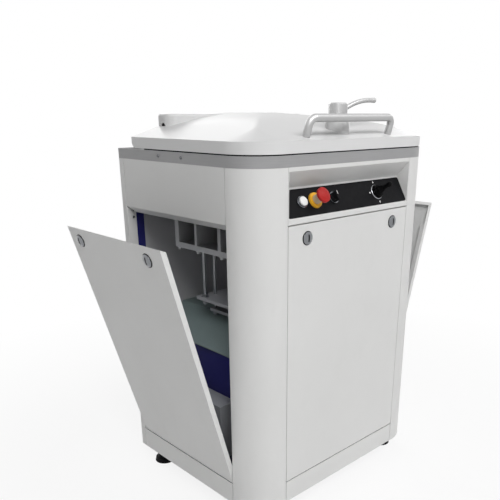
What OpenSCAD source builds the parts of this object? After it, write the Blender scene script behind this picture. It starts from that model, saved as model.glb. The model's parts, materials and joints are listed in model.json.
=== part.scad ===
// Hydraulic dough divider: a floor-standing cabinet with a rectangular dough tank under a
// hinged lid, tilting service doors, and a press and knife pack raised by one cylinder.
// Millimetres, +Z up, the front faces -Y, origin on the floor under the middle of the machine.

/* [Cabinet] */
// Width across the side panels
cabinet_w = 660; // [640:5:760]
// Depth from the front face to the rear panel
cabinet_d = 519; // [500:1:600]
// Height of the steel band's lower edge above the floor
band_z = 900; // [880:5:960]
// Height of the steel band
band_h = 25; // [18:1:35]
// Radius of the two rounded front corners
corner_r = 90; // [70:1:98]
// Width of a front corner column, seen from the front
column_front_w = 102.5; // [99:0.5:115]
// Thickness of the painted sheet metal
sheet = 2; // [1.5:0.5:3]
// Clear height under the cabinet
floor_gap = 55; // [45:1:70]
// Shadow gap between neighbouring panels
seam = 2; // [1:0.5:3]
// Height of the fixed upper side panel
upper_panel_h = 122; // [118:1:140]
// Depth of the folded returns round the side openings
return_d = 26; // [20:1:27]
// Drop of the sloping return under the upper panel
return_drop = 18; // [10:1:20]
// Width of the rear corner strip
rear_strip_w = 19; // [19:1:30]

/* [Chassis] */
// Distance of the posts behind the outer faces
post_inset = 27; // [27:1:32]
// Width of the steel posts and rails
post_w = 40; // [30:1:40]
// Width of the rear posts
rear_post_w = 23; // [20:1:30]
// Depth of the rear posts
rear_post_d = 15; // [10:1:15]
// Height of the base rails
base_rail_h = 50; // [40:1:60]
// Thickness of the base plate
base_plate_t = 3; // [2:0.5:6]
// Height of the upper side rails
side_rail_h = 35; // [25:1:50]
// Gap between the side panels and the lower housing
housing_gap = 74; // [74:1:84]
// Width of each sloping side of the scrap chute
chute_side_w = 91; // [80:1:110]
// Drop of the scrap chute's level middle below the band
chute_drop = 416; // [414:1:430]
// Slope of the chute's sides
chute_slope = 33.5; // [30:0.5:40]

/* [Control recess] */
// Tilt of the control panel from the vertical
panel_tilt = 30; // [26:1:32]
// Height of the strip between the band and the recess
recess_top = 9; // [6:1:14]
// Height of the recess mouth
recess_h = 105; // [100:1:108]
// Depth of the recess
recess_d = 38; // [34:1:40]
// Height of the black control plate, along its slope
plate_h = 66.5; // [60:0.5:68]
// Distance of the controls up the sloping panel
control_s = 37.5; // [34:0.5:42]
// Distance of the white push button from the panel's left end
button_inset = 60; // [40:0.5:80]
// Distance from the push button to the emergency stop
estop_pitch = 44; // [40:1:50]
// Distance from the emergency stop to the rotary selector
selector_pitch = 63.5; // [50:0.5:70]
// Distance of the joystick from the panel's right end
joystick_inset = 115; // [60:0.5:130]
// Bore in the panel for a push button, a stop or a selector
control_bore = 22.3; // [22.3:0.1:22.8]
// Diameter of the white lens
lens_dia = 22; // [20:0.5:23]
// Travel of the white push button
button_travel = 4; // [2:0.5:4.5]
// Diameter of the emergency stop's red head
estop_dia = 36; // [30:1:38]
// Height of the red head's rim above the panel
estop_reach = 33; // [32:1:40]
// Travel of the emergency stop
estop_travel = 5; // [3:0.5:6]
// Length of the joystick above the panel
joystick_len = 54; // [45:1:60]

/* [Doors] */
// Angle at which the open side doors stand
door_tilt = 15.5; // [8:0.5:18]
// Depth of the folded door tray
door_t = 13; // [11:0.5:14]
// Height of the door hinge pins above the base plate
hinge_rise = 16; // [14:1:24]
// Diameter of the door hinge pins
hinge_pin_dia = 8; // [6:0.5:8]
// Distance of a door hinge from the door's side edge
hinge_edge = 70; // [50:1:90]
// Diameter of a latch head
latch_dia = 30; // [26:1:32]
// Distance of a latch below the door's top edge
latch_drop = 33; // [30:1:36]
// Distance of the front panel's latches from its side edges
front_latch_edge = 62; // [56:1:80]
// Distance of a side door's front latch from its front edge
side_latch_front = 62; // [56:1:80]
// Distance of a side door's rear latch from its rear edge
side_latch_rear = 46; // [44:1:70]
// Length of a latch tongue from the latch's axis
tongue_len = 37; // [34:1:37]

/* [Lid] */
// Depth of the shelf left open behind the lid
rear_shelf = 68; // [60:1:80]
// Height of the lid's upright skirt
skirt_h = 26; // [20:1:34]
// Height of the dark seam under the lid
lid_seam = 3; // [3:0.5:5]
// Slope of the lid's sides
lid_slope = 16.4; // [12:0.1:18]
// Straight run of the slope before it rounds into the crown
lid_run = 80; // [70:1:100]
// Width over which the slope flattens into the crown
lid_round = 120; // [80:1:140]
// Slope of the lid's crown, which rises to the middle
crown_slope = 5.7; // [4:0.1:8]
// Thickness of the lid shell
lid_wall = 3; // [2:0.5:4]
// Distance of the hinge cover's ends from the lid's sides
cover_inset = 83.5; // [78:0.5:92]
// Distance of the hinge cover's rear face behind the hinge axis
cover_back = 24; // [23:0.5:27]
// Distance of the hinge cover's front face before the hinge axis
cover_front = 32; // [30:1:40]
// Height of the hinge cover above the hinge axis
cover_rise = 30; // [24:1:32]
// Height of the hinge axis above the lid's lower edge
hinge_h = 50; // [49:1:54]
// Distance of the hinge axis from the lid's rear face
hinge_back = 19; // [18:1:21]
// Diameter of the lid's hinge pins
lid_pin_dia = 16; // [14:1:20]
// Diameter of the handle tube
handle_dia = 18; // [14:1:20]
// Distance between the handle's legs
handle_span = 300; // [240:5:320]
// Height of the handle's bar above the sloping lid
handle_h = 41; // [36:1:48]
// Distance of the handle's feet behind the front face
handle_d = 22; // [21:1:30]
// Distance of the lock lever's axis behind the front face
lock_d = 60; // [58:1:62]
// Diameter of the lock lever's hub
hub_dia = 46; // [40:1:48]
// Reach of the lock lever from its axis to its tip
lever_reach = 139; // [128:1:150]
// Rise of the lock lever's arm from its hub to its tip
lever_rise = 24; // [18:1:30]
// Diameter of the lock lever's arm
lever_dia = 11; // [9:0.5:13]

/* [Tank and press] */
// Distance of the tank's inner side walls from the side panels
tank_side_gap = 100; // [98:1:110]
// Distance of the tank's inner front wall behind the front face
tank_front = 95; // [92:1:100]
// Distance of the tank's inner rear wall in front of the hinge axis
tank_rear_gap = 27; // [26:1:34]
// Thickness of the tank walls
tank_wall = 4; // [3:0.5:5]
// Thickness of a knife blade
blade_t = 3; // [2:0.5:4]
// Clearance on each side of a blade
blade_gap = 1; // [0.5:0.1:1.5]
// Stroke of the press platen
press_stroke = 60; // [40:1:60]
// Further stroke of the knives through the platen
knife_stroke = 22; // [15:1:22]
// Thickness of the press pads
pad_t = 14; // [10:1:16]
// Height of the knife blades
blade_h = 40; // [36:1:40]
// Diameter of the press and knife rods
rod_dia = 8; // [7:0.5:11]
// Distance of the press rods inside the tank wall
press_rod_inset = 12; // [12:1:16]
// Offset of the press rods from the knife rods, front to back
press_rod_offset = 6.5; // [0:0.5:15]
// Distance of the knife rods inside the tank wall
knife_rod_inset = 52; // [50:1:60]
// Distance of the ribs' outer edges from the side panels
rib_gap = 70; // [68:1:76]
// Distance of the outer ribs inside the tank's front and rear walls
rib_end_inset = 28; // [20:1:34]
// Distance of the inner ribs from the press rods, towards the middle
rib_rod_gap = 24; // [18:1:31]
// Drop of the press frame's lower face below the band
frame_drop = 222; // [218:1:230]
// Drop of the press crosshead's upper face below the band
press_head_drop = 358; // [350:1:362]
// Drop of the knife crosshead's upper face below the band
knife_head_drop = 398; // [394:1:400]
// Thickness of the crossheads
head_t = 8.5; // [6:0.5:9]
// Diameter of the piston rod
piston_dia = 32; // [25:1:40]

/* [Feet] */
// Diameter of the levelling feet
foot_dia = 60; // [50:1:70]
// Diameter of the feet's threaded stems
stem_dia = 16; // [12:1:20]

/* [Fits] */
// Running clearance of a shaft in its bore, on the radius
run_fit = 0.05; // [0.03:0.01:0.1]
// Clearance of a fixed piece in its hole, on the radius
hole_fit = 0.2; // [0.1:0.05:0.3]
// Gap at rest between a moving piece and its stop
rest_gap = 0.3; // [0.2:0.05:0.5]

/* [Hidden] */
$fn = 64;
eps = 0.01;

// Paints
white_paint = "#e4e4e2";
grey_paint = "#8e9092";
dark_paint = "#4a4a4c";
blue_paint = "#1c1c48";
steel = "#b4b6b8";
chrome = "#d0d2d4";
black = "#202022";

// Places in plan: a depth is counted from the front face
half_w = cabinet_w / 2;
panel_slope_z = band_z - recess_top - recess_h;
stick_overhang = 36;
front_y = (stick_overhang - cabinet_d) / 2;
function fy(depth) = front_y + depth;
post_x = half_w - post_inset;
seam_x = half_w - column_front_w;
rear_seam = cabinet_d - rear_strip_w;
post_front = 45;
door_front = corner_r + seam;
door_rear = rear_seam - 5;
lid_rear = cabinet_d - rear_shelf;
hinge_d = lid_rear - hinge_back;
tank_half_w = half_w - tank_side_gap;
tank_rear = hinge_d - tank_rear_gap;
tank_mid = (tank_front + tank_rear) / 2;
tank_half_d = (tank_rear - tank_front) / 2;
frame_half_w = half_w - rib_gap;
housing_half_w = half_w - housing_gap;
housing_front = corner_r + 2;
cells_x = 5;
cells_y = 4;
chute_flat = housing_half_w - chute_side_w;
cover_half = half_w - cover_inset;
hinge_x = cover_half - 42;
knife_rod_x = tank_half_w - knife_rod_inset;
rib_outer_y = tank_half_d - rib_end_inset;
panel_half = seam_x - seam / 2;
button_x = button_inset - panel_half;
estop_x = button_x + estop_pitch;
selector_x = estop_x + selector_pitch;
joystick_x = panel_half - joystick_inset;

// Heights
band_top = band_z + band_h;
deck_t = 2;
deck_z = band_top - 5;
lid_z = band_top + lid_seam;
lid_hinge_z = lid_z + hinge_h;
upper_z = band_z - upper_panel_h;
door_top = upper_z - 5;
door_outer = 8;
base_z = floor_gap + base_rail_h;
floor_z = base_z + base_plate_t;
hinge_z = floor_z + hinge_rise;
door_bottom = hinge_z - door_outer;
chute_z = band_z - chute_drop;
liner_t = 10.5;
liner_z = deck_z + 0.5;
lid_frame_t = 6;
lid_frame_z = liner_z + liner_t;
pad_top = liner_z - 0.5 - knife_stroke - press_stroke;
blade_top = pad_top - 1;
blade_foot = blade_top - blade_h;
blade_web = 12;
knife_bottom = blade_foot - blade_web;
carrier_t = 12;
carrier_z = knife_bottom - 10 - carrier_t;
tank_bottom = carrier_z + carrier_t + 5;
frame_z = band_z - frame_drop;
frame_plate_t = 14;
press_head_z = band_z - press_head_drop - head_t;
knife_head_z = band_z - knife_head_drop - head_t;
cell_w = 2 * tank_half_w / cells_x;
cell_d = 2 * tank_half_d / cells_y;
press_rod_y = cell_d - press_rod_offset;
rib_inner_y = press_rod_y - rib_rod_gap;
head_half_d = cell_d + 19.5;

module both_sides() {
    children();
    mirror([1, 0, 0]) children();
}

// A box between two corners
module span(a, b) {
    translate(a) cube(b - a);
}

// Quarter of a ring, or of a disc when the wall is the radius, at the right front corner
module front_corner(inset, wall, z, h) {
    translate([half_w - corner_r, fy(corner_r), z])
        rotate([0, 0, 270])
            rotate_extrude(angle = 90)
                translate([corner_r - inset - wall, 0])
                    square([wall, h]);
}

// Upright wall that follows the front and both sides, to a given depth
module wrap(inset, wall, z, h, depth) {
    both_sides() {
        front_corner(inset, wall, z, h);
        span([half_w - inset - wall, fy(corner_r), z], [half_w - inset, fy(depth), z + h]);
    }
    span([corner_r - half_w, fy(inset), z], [half_w - corner_r, fy(inset + wall), z + h]);
}

// Solid plan of the cabinet, to a given depth
module plan(inset, z, h, depth) {
    both_sides() front_corner(inset, corner_r - inset, z, h);
    span([corner_r - half_w, fy(inset), z], [half_w - corner_r, fy(corner_r), z + h]);
    span([inset - half_w, fy(corner_r), z], [half_w - inset, fy(depth), z + h]);
}

// Rectangular ring that lies flat
module flat_ring(x, y0, y1, wall, z, h) {
    difference() {
        span([-x, y0, z], [x, y1, z + h]);
        span([wall - x, y0 + wall, z - 1], [x - wall, y1 - wall, z + h + 1]);
    }
}

// A round bar along X
module bar_x(x0, x1, dia) {
    translate([x0, 0, 0])
        rotate([0, 90, 0])
            cylinder(d = dia, h = x1 - x0);
}

// Cabinet

module chassis_frame() {
    x0 = post_x - post_w;
    xr = post_x - rear_post_w;
    front_rail = post_inset + post_w;
    rear = rear_seam + rear_post_d;
    color(blue_paint) {
        both_sides() {
            // base rail, front post, rear post and upper rail
            span([x0, fy(post_front), floor_gap], [post_x, fy(rear_seam), base_z]);
            span([x0, fy(post_front), base_z], [post_x, fy(corner_r), deck_z - deck_t]);
            span([xr, fy(rear_seam), floor_gap], [post_x, fy(rear), deck_z - deck_t]);
            span([x0, fy(corner_r), tank_bottom], [post_x, fy(rear_seam), tank_bottom + side_rail_h]);
        }
        span([-x0, fy(post_inset), floor_gap], [x0, fy(front_rail), base_z]);
        span([-xr, fy(rear_seam), floor_gap], [xr, fy(rear), base_z]);
        // base plate, with its front and rear edges between the posts
        difference() {
            union() {
                span([-post_x, fy(corner_r), base_z], [post_x, fy(rear_seam), floor_z]);
                span([-x0, fy(post_inset), base_z], [x0, fy(corner_r), floor_z]);
                span([-xr, fy(rear_seam), base_z], [xr, fy(rear), floor_z]);
            }
            translate([0, fy(tank_mid), base_z - 1])
                cylinder(d = 40, h = base_plate_t + 2);
        }
    }
}

chute_side_z = chute_z - (housing_half_w - chute_flat) * tan(chute_slope);

// Gable outline of the lower housing
module gable(inset, lift) {
    x = housing_half_w - inset;
    polygon([
        [-x, floor_z], [x, floor_z], [x, chute_side_z - sheet + lift],
        [chute_flat, chute_z - sheet + lift], [-chute_flat, chute_z - sheet + lift],
        [-x, chute_side_z - sheet + lift]
    ]);
}

module lower_housing() {
    color(blue_paint)
        difference() {
            translate([0, fy(rear_seam - 1), 0])
                rotate([90, 0, 0])
                    linear_extrude(rear_seam - 1 - housing_front)
                        gable(0, 0);
            translate([0, fy(rear_seam - 1 - sheet), -1])
                rotate([90, 0, 0])
                    linear_extrude(rear_seam - 1 - housing_front - 2 * sheet)
                        gable(sheet, 5);
        }
}

module scrap_chute() {
    lip = 5;
    x = housing_half_w + lip;
    drop = lip * tan(chute_slope);
    color("#8a9896")
        difference() {
            translate([0, fy(rear_seam - 1), 0])
                rotate([90, 0, 0])
                    linear_extrude(rear_seam - 1 - housing_front + lip)
                        polygon([
                            [-x, chute_side_z - drop - sheet], [-chute_flat, chute_z - sheet],
                            [chute_flat, chute_z - sheet], [x, chute_side_z - drop - sheet],
                            [x, chute_side_z - drop], [chute_flat, chute_z],
                            [-chute_flat, chute_z], [-x, chute_side_z - drop]
                        ]);
            translate([0, fy(tank_mid), chute_z - 20])
                cylinder(d = piston_dia + 64, h = 40);
        }
}

module rear_bulkhead() {
    color(dark_paint)
        span([rear_post_w - post_x, fy(rear_seam), floor_z],
             [post_x - rear_post_w, fy(rear_seam + sheet), deck_z - deck_t]);
}

// One front corner column with its folded returns, on the right
module column() {
    z = floor_gap;
    h = band_z - floor_gap;
    front_corner(0, sheet, z, h);
    span([seam_x, fy(0), z], [half_w - corner_r, fy(sheet), z + h]);
    span([seam_x, fy(sheet), z], [seam_x + sheet, fy(post_inset), z + h]);
    span([post_x, fy(corner_r - sheet), z], [half_w - sheet, fy(corner_r), z + h]);
}

module left_column() {
    color(white_paint) mirror([1, 0, 0]) column();
}

module right_column() {
    color(white_paint) column();
}

// Fixed upper side panel with a sloping return along its lower edge, on the right
module upper_panel() {
    x = half_w - sheet;
    translate([0, fy(rear_seam - seam), 0])
        rotate([90, 0, 0])
            linear_extrude(rear_seam - seam - door_front)
                polygon([
                    [half_w, band_z], [half_w, upper_z], [half_w - return_d, upper_z - return_drop],
                    [half_w - return_d, upper_z - return_drop + sheet], [x, upper_z + sheet],
                    [x, band_z - sheet], [post_x, band_z - sheet], [post_x, band_z]
                ]);
}

module left_upper_panel() {
    color(white_paint) mirror([1, 0, 0]) upper_panel();
}

module right_upper_panel() {
    color(white_paint) upper_panel();
}

module rear_panel() {
    vent_w = 120;
    vent_pitch = 18;
    color(white_paint)
        difference() {
            union() {
                span([-half_w, fy(cabinet_d - sheet), floor_gap], [half_w, fy(cabinet_d), band_z]);
                both_sides() {
                    span([half_w - sheet, fy(rear_seam), floor_gap],
                         [half_w, fy(cabinet_d - sheet), band_z]);
                    span([post_x, fy(rear_seam), floor_gap],
                         [half_w - sheet, fy(rear_seam + sheet), band_z]);
                }
            }
            // cooling slots in front of the motor, two groups side by side
            for (side = [-1, 1])
                for (row = [0:7])
                    translate([side * 110 - vent_w / 2, fy(cabinet_d - sheet - 1), 190 + row * vent_pitch])
                        cube([vent_w, sheet + 2, 6]);
            // two fixing holes in the left return
            for (z = [upper_z - 13, upper_z - 31])
                translate([-half_w + 19, fy(rear_seam - 1), z])
                    rotate([-90, 0, 0])
                        cylinder(d = 7, h = sheet + 2);
        }
}

module plinth_strips() {
    z = door_bottom - 3;
    color(white_paint) {
        both_sides() {
            span([half_w - sheet, fy(door_front), floor_gap], [half_w, fy(rear_seam - seam), z]);
            span([post_x, fy(door_front), floor_gap],
                 [half_w - sheet, fy(rear_seam - seam), floor_gap + sheet]);
        }
        span([seam - seam_x, fy(0), floor_gap], [seam_x - seam, fy(sheet), z]);
        span([seam - seam_x, fy(sheet), floor_gap], [seam_x - seam, fy(post_inset), floor_gap + sheet]);
    }
}

// A place on the sloping panel, with the local Z along its outward normal
module on_panel(x, s) {
    translate([x, fy(s * sin(panel_tilt)), panel_slope_z + s * cos(panel_tilt)])
        rotate([90 - panel_tilt, 0, 0])
            children();
}

// Bores for the four controls, through the panel and the plate
module control_bores() {
    for (x = [button_x, estop_x, selector_x])
        on_panel(x, control_s) translate([0, 0, -10]) cylinder(d = control_bore, h = 20);
    on_panel(joystick_x, control_s) translate([0, 0, -10]) cylinder(d = 28, h = 20);
}

// Bent front sheet: down from the band, into the recess, out again and back under itself
module control_fascia() {
    x = panel_half;
    vertex_z = panel_slope_z + recess_d / tan(panel_tilt);
    back = sheet / cos(panel_tilt);
    low = upper_z - 2;
    color(white_paint)
        difference() {
            union() {
                translate([-x, fy(0), 0])
                    rotate([90, 0, 90])
                        linear_extrude(2 * x)
                            polygon([
                                [0, band_z], [0, band_z - recess_top], [recess_d, vertex_z],
                                [0, panel_slope_z], [0, low], [return_d, upper_z - return_drop],
                                [return_d, upper_z - return_drop + back], [back, low + back / 2],
                                [back, panel_slope_z], [recess_d + back, vertex_z],
                                [back, band_z - recess_top], [back, band_z]
                            ]);
                both_sides()
                    translate([x - sheet, fy(0), 0])
                        rotate([90, 0, 90])
                            linear_extrude(sheet)
                                polygon([
                                    [0, band_z - recess_top], [recess_d + back / 2, vertex_z],
                                    [0, panel_slope_z]
                                ]);
            }
            control_bores();
        }
}

plate_t = 2;

module control_plate() {
    x = panel_half - sheet - 2;
    r = 5;
    s0 = 4;
    color(black)
        difference() {
            on_panel(0, s0)
                linear_extrude(plate_t)
                    difference() {
                        translate([-x, 0]) square([2 * x, plate_h]);
                        for (side = [-1, 1])
                            for (end = [0, 1])
                                translate([side * x, end * plate_h])
                                    difference() {
                                        square(2 * r, center = true);
                                        translate([-side * r, (1 - 2 * end) * r]) circle(r);
                                    }
                    }
            control_bores();
        }
}

module steel_band() {
    t = 3;
    color(steel)
        difference() {
            union() {
                wrap(0, t, band_z, band_h, cabinet_d);
                span([t - half_w, fy(cabinet_d - t), band_z], [half_w - t, fy(cabinet_d), band_top]);
            }
            band_screw_places() translate([0, 0, -8]) cylinder(d = 4 + 2 * hole_fit, h = 16);
        }
}

// Two screws on each side of the band, with the local Z pointing outwards
module band_screw_places() {
    for (side = [-1, 1])
        for (d = [tank_mid - 5, tank_mid + 87])
            translate([side * half_w, fy(d), band_z + band_h / 2 + 1])
                rotate([0, 90 * side, 0])
                    children();
}

module band_screws() {
    color(chrome)
        band_screw_places() {
            translate([0, 0, -6]) cylinder(d = 4, h = 6 + eps);
            difference() {
                cylinder(d1 = 8, d2 = 6, h = 2.2);
                translate([-4, -0.6, 1.2]) cube([8, 1.2, 2]);
            }
        }
}

lock_slot_w = 46;

module deck_plate() {
    color(steel)
        difference() {
            plan(3, deck_z - deck_t, deck_t, cabinet_d - 3);
            span([-tank_half_w - tank_wall, fy(tank_front - tank_wall), deck_z - 5],
                 [tank_half_w + tank_wall, fy(tank_rear + tank_wall), deck_z + 5]);
            span([-lock_slot_w / 2, fy(lock_d - 14), deck_z - 5],
                 [lock_slot_w / 2, fy(lock_d + 10), deck_z + 5]);
        }
}

module lid_seal() {
    color(black)
        wrap(3.5, 8, deck_z, lid_frame_z - rest_gap - deck_z, hinge_d - 30);
}

// Tank, press frame and hydraulics

module dough_tank() {
    color(steel)
        translate([0, fy(tank_mid), 0])
            flat_ring(tank_half_w + tank_wall, -tank_half_d - tank_wall, tank_half_d + tank_wall,
                      tank_wall, tank_bottom, deck_z - tank_bottom);
}

rib_ys = [-rib_outer_y, -rib_inner_y, rib_inner_y, rib_outer_y];
rib_ts = [16, 11.5, 9, 16];

// Every rod's place in plan
module press_rod_places() {
    for (sx = [-1, 1])
        for (sy = [-1, 1])
            translate([sx * (tank_half_w - press_rod_inset), fy(tank_mid) + sy * press_rod_y, 0])
                children();
}

module knife_rod_places() {
    for (sx = [-1, 1])
        for (sy = [-1, 1])
            translate([sx * knife_rod_x, fy(tank_mid) + sy * cell_d, 0])
                children();
}

// Plate with four ribs that cross it, and two flanges that hang from the side rails
module press_frame() {
    flange = 8;
    x = tank_half_w + 2;
    y = rib_outer_y + rib_ts[0] / 2;
    z = frame_z + frame_plate_t;
    color(grey_paint)
        difference() {
            translate([0, fy(tank_mid), 0]) {
                span([-frame_half_w, -y, frame_z], [frame_half_w, y, z]);
                for (i = [0:3])
                    translate([0, rib_ys[i], 0]) {
                        t = rib_ts[i] / 2;
                        span([-frame_half_w, -t, z], [frame_half_w, t, carrier_z - 8]);
                        // outside the carrier's path each rib rises to the flange
                        both_sides() span([x, -t, z], [frame_half_w, t, tank_bottom - flange]);
                    }
                both_sides()
                    span([tank_half_w, -tank_half_d, tank_bottom - flange],
                         [post_x - post_w + 15, tank_half_d, tank_bottom]);
            }
            press_rod_places() translate([0, 0, frame_z - 1]) cylinder(d = rod_dia + 6, h = 20);
            knife_rod_places() translate([0, 0, frame_z - 1]) cylinder(d = rod_dia + 6, h = 20);
            translate([0, fy(tank_mid), frame_z - 1]) cylinder(r = rib_inner_y - 8, h = 20);
        }
}

// Flanged bush for one rod, seated in the press frame's plate
module bush() {
    difference() {
        union() {
            translate([0, 0, frame_z]) cylinder(d = rod_dia + 6, h = frame_plate_t);
            translate([0, 0, frame_z + frame_plate_t]) cylinder(d = rod_dia + 11, h = 4);
        }
        translate([0, 0, frame_z - 1]) cylinder(d = rod_dia + 2 * run_fit, h = 20);
    }
}

module rod_bushes() {
    color("#b8924a") {
        press_rod_places() bush();
        knife_rod_places() bush();
    }
}

module frame_bolts() {
    color(chrome)
        both_sides()
            for (y = rib_ys)
                translate([frame_half_w - 9, fy(tank_mid) + y, frame_z]) {
                    translate([0, 0, -1.5]) cylinder(d = 16, h = 1.5);
                    translate([0, 0, -8]) cylinder(d = 12, h = 6.5, $fn = 6);
                }
}

cylinder_top = chute_z + 6;

module hydraulic_cylinder() {
    gland_h = 40;
    body_top = cylinder_top - gland_h;
    color(grey_paint)
        translate([0, fy(tank_mid), 0])
            difference() {
                union() {
                    translate([0, 0, floor_z]) cylinder(d = 130, h = 14);
                    translate([0, 0, floor_z + 14])
                        cylinder(d = piston_dia + 46, h = body_top - floor_z - 14);
                    translate([0, 0, body_top]) cylinder(d = piston_dia + 56, h = gland_h);
                }
                translate([0, 0, floor_z + 20]) cylinder(d = piston_dia + 28, h = body_top - floor_z - 20);
                translate([0, 0, body_top - 1]) cylinder(d = piston_dia + 2 * run_fit, h = gland_h + 2);
            }
}

// Oil tank with its filler cap, and a motor lying front to back with the pump on its front end
module power_pack() {
    x0 = -housing_half_w + sheet + 4;
    x1 = -90;
    mid = (x0 + x1) / 2;
    h = 190;
    cap_d = housing_front + 60;
    // the motor fills the bay between the cylinder's flange and the housing
    r = (housing_half_w - 120) / 2;
    x = housing_half_w - 28 - r;
    z = floor_z + 22 + r;
    front = housing_front + 110;
    len = rear_seam - housing_front - 208;
    rib_pitch = 16;
    ribs = floor((len - 40) / rib_pitch);
    color("#5c646c") {
        span([x0, fy(housing_front + 20), floor_z], [x1, fy(rear_seam - 40), floor_z + h]);
        span([x0 - 2, fy(housing_front + 18), floor_z + h], [x1 + 2, fy(rear_seam - 38), floor_z + h + 4]);
        translate([mid, fy(cap_d), floor_z + h + 4]) cylinder(d = 46, h = 22);
        translate([mid, fy(cap_d), floor_z + h + 26]) cylinder(d = 54, h = 10);
        translate([x, fy(front), z])
            rotate([-90, 0, 0]) {
                cylinder(r = r - 6, h = len);
                for (k = [0:ribs - 1])
                    translate([0, 0, 18 + k * rib_pitch]) cylinder(r = r, h = 6);
                translate([0, 0, len]) cylinder(r = r, h = 34);
                translate([0, 0, -10]) cylinder(r = r - 20, h = 10);
                translate([-r / 2, -r / 2, -78]) cube([r, r, 68]);
            }
        for (d = [front + 26, front + len - 40])
            span([x - r + 6, fy(d), floor_z], [x + r - 6, fy(d + 22), floor_z + 40]);
    }
}

// Light-grey box on the left face of the lower housing
module electrical_box() {
    x1 = -housing_half_w;
    x0 = -half_w + 18;
    d0 = 155;
    z0 = 150;
    z1 = 303;
    color("#b8babc") {
        span([x0 + 3, fy(d0), z0], [x1, fy(d0 + 200), z1 - 3]);
        difference() {
            span([x0, fy(d0 - 1), z0 - 1], [x1 - 20, fy(d0 + 201), z1]);
            span([x0 + 3, fy(d0), z0], [x1, fy(d0 + 200), z1 - 3]);
        }
    }
}

// Feet under the base rails
module levelling_feet() {
    color("#3a3b3d")
        for (sx = [-1, 1])
            for (d = [75, rear_seam - 28])
                translate([sx * (post_x - post_w / 2), fy(d), 0]) {
                    cylinder(d1 = foot_dia, d2 = foot_dia - 4, h = 10);
                    translate([0, 0, 10]) cylinder(d1 = foot_dia - 12, d2 = stem_dia + 8, h = 10);
                    translate([0, 0, 20]) cylinder(d = stem_dia, h = floor_gap - 20);
                    translate([0, 0, floor_gap - 12]) cylinder(d = stem_dia * 1.7, h = 12, $fn = 6);
                }
}

// Doors

// Local frame of a door: X along its width, Z up, Y into the cabinet, origin on the hinge pins
module left_door_frame(tilt) {
    translate([-half_w + door_outer, fy((door_front + door_rear) / 2), hinge_z])
        rotate([0, 0, -90])
            rotate([tilt, 0, 0])
                children();
}

module right_door_frame(tilt) {
    translate([half_w - door_outer, fy((door_front + door_rear) / 2), hinge_z])
        rotate([0, 0, 90])
            rotate([tilt, 0, 0])
                children();
}

module front_door_frame() {
    translate([0, fy(door_outer), hinge_z])
        children();
}

side_door_w = door_rear - door_front;
front_door_w = 2 * seam_x - 2 * seam;
door_h = door_top - hinge_z;
latch_z = door_h - latch_drop;
latch_bore = 12;
ear_w = 8;
lug_w = 10;

// Latch places across a door, from its middle
function front_latch_xs() = [-front_door_w / 2 + front_latch_edge, front_door_w / 2 - front_latch_edge];
function side_latch_xs() = [-side_door_w / 2 + side_latch_rear, side_door_w / 2 - side_latch_front];

// Outline of a door tray seen from its side: its top return falls inwards, like the panel above
module tray_outline(skin, deep) {
    fall = return_drop / return_d;
    top = door_h - skin;
    polygon([
        [-door_outer + skin, -door_outer + skin], [deep, -door_outer + skin],
        [deep, top - (deep + door_outer) * fall], [-door_outer + skin, top - skin * fall]
    ]);
}

// Sheet-metal tray with returns on all four edges, and hinge ears inside its foot
module door_tray(w, latch_xs) {
    inner = door_t - door_outer;
    difference() {
        union() {
            difference() {
                translate([-w / 2, 0, 0])
                    rotate([90, 0, 90])
                        linear_extrude(w) tray_outline(0, inner);
                translate([-w / 2 + sheet, 0, 0])
                    rotate([90, 0, 90])
                        linear_extrude(w - 2 * sheet) tray_outline(sheet, inner + 1);
            }
            // inward lips along both sides, ending below the latches
            for (side = [-1, 1])
                translate([side * (w / 2 - 8), inner - sheet, 30])
                    span([-6, 0, 0], [6, sheet, door_h - 100]);
            for (side = [-1, 1])
                for (end = [-1, 1])
                    translate([side * (w / 2 - hinge_edge) + end * (lug_w + ear_w + 1) / 2, 0, 0])
                        span([-ear_w / 2, -door_outer + sheet, -door_outer + sheet], [ear_w / 2, 7, 16]);
        }
        for (side = [-1, 1])
            translate([side * (w / 2 - hinge_edge), 0, 0])
                bar_x(-20, 20, hinge_pin_dia + 2 * run_fit);
        for (x = latch_xs)
            translate([x, -door_outer - 1, latch_z])
                rotate([-90, 0, 0])
                    cylinder(d = latch_bore + 2 * run_fit, h = sheet + 2);
    }
}

module left_door() {
    color(white_paint)
        left_door_frame(door_tilt)
            door_tray(side_door_w, side_latch_xs());
}

module right_door() {
    color(white_paint)
        right_door_frame(door_tilt)
            door_tray(side_door_w, -side_latch_xs());
}

module front_panel() {
    color(white_paint)
        front_door_frame()
            door_tray(front_door_w, front_latch_xs());
}

// Fixed lug with its pin, standing on the base plate and reaching between a door's two ears
module hinge_lug() {
    reach = post_inset - door_outer;
    pin_half = lug_w / 2 + ear_w + 1.5;
    span([-lug_w / 2, -5, -3], [lug_w / 2, reach + 21, 8]);
    span([-lug_w / 2, reach, -hinge_rise], [lug_w / 2, reach + 21, -3]);
    bar_x(-pin_half, pin_half, hinge_pin_dia);
}

module door_hinges() {
    color("#6a6c70") {
        for (side = [-1, 1]) {
            left_door_frame(0) translate([side * (side_door_w / 2 - hinge_edge), 0, 0]) hinge_lug();
            right_door_frame(0) translate([side * (side_door_w / 2 - hinge_edge), 0, 0]) hinge_lug();
            front_door_frame() translate([side * (front_door_w / 2 - hinge_edge), 0, 0]) hinge_lug();
        }
    }
}

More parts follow.
